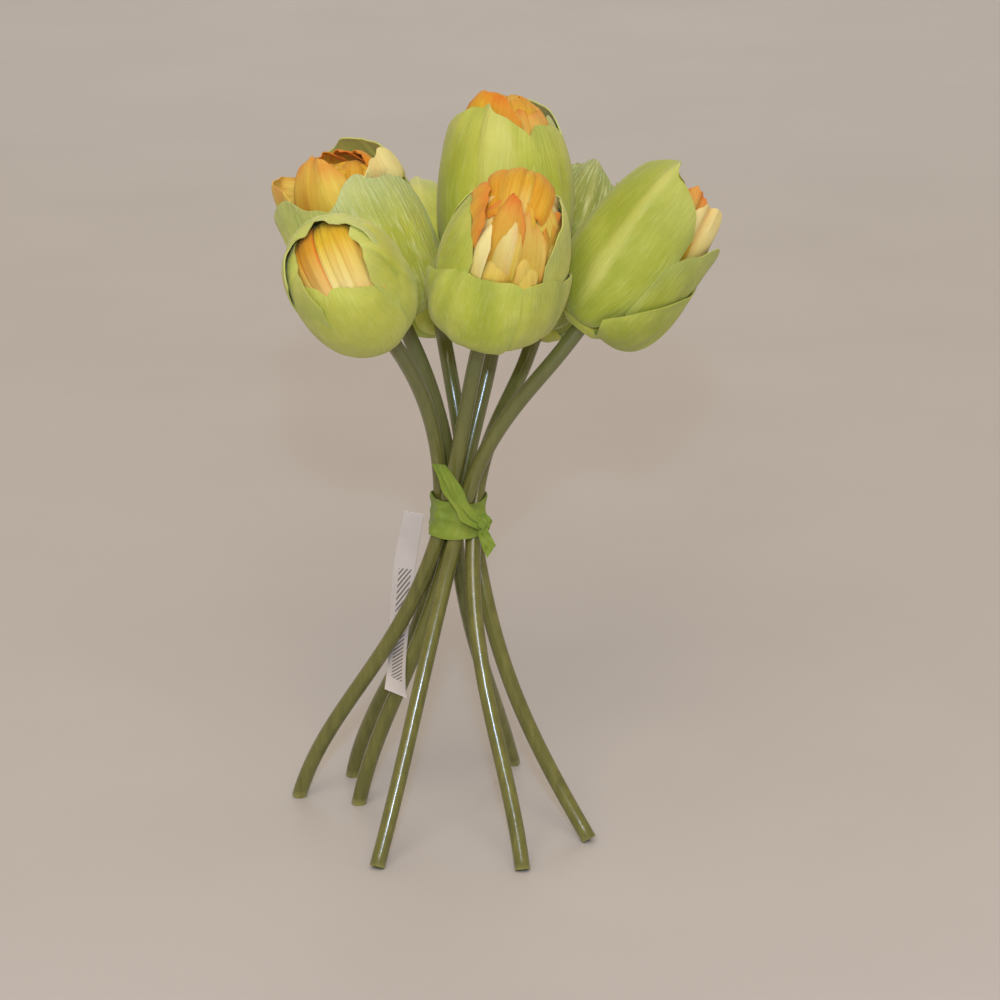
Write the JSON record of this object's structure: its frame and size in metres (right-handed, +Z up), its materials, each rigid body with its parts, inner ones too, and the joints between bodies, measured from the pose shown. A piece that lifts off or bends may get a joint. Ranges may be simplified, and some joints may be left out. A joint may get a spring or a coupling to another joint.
{
  "type": "bunch of artificial tulips",
  "caption": "Tied bunch of artificial double tulips, green outside and yellow inside, that stands on its splayed stem ends.",
  "frame": {"origin": "middle of the bunch's bounding box in plan, at the height of the surface it stands on", "axes": "+Z up, from the stem ends to the flower heads; the reference view looks along +Y with +X to the right"},
  "size_m": [0.1223, 0.1387, 0.2107],
  "materials": {
    "stem_plastic": "glossy olive green moulded plastic",
    "green_petal_cloth": "soft stiffened cloth, lime green with paler veins and folds",
    "yellow_petal_cloth": "soft ruffled cloth, golden yellow with cream tips and orange edges",
    "ribbon_cloth": "crumpled matte grass-green ribbon",
    "label_film": "thin glossy pale film"
  },
  "bodies": {
    "root": {"stem_1": "stem_plastic", "stem_2": "stem_plastic", "stem_3": "stem_plastic", "stem_4": "stem_plastic", "stem_5": "stem_plastic", "stem_6": "stem_plastic", "stem_7": "stem_plastic", "flower_1_outer_petals": "green_petal_cloth", "flower_2_outer_petals": "green_petal_cloth", "flower_3_outer_petals": "green_petal_cloth", "flower_4_outer_petals": "green_petal_cloth", "flower_5_outer_petals": "green_petal_cloth", "flower_6_outer_petals": "green_petal_cloth", "flower_7_outer_petals": "green_petal_cloth", "flower_1_inner_petals": "yellow_petal_cloth", "flower_2_inner_petals": "yellow_petal_cloth", "flower_3_inner_petals": "yellow_petal_cloth", "flower_4_inner_petals": "yellow_petal_cloth", "flower_5_inner_petals": "yellow_petal_cloth", "flower_6_inner_petals": "yellow_petal_cloth", "flower_7_inner_petals": "yellow_petal_cloth", "ribbon_tie": "ribbon_cloth", "price_label": "label_film"}
  },
  "joints": []
}
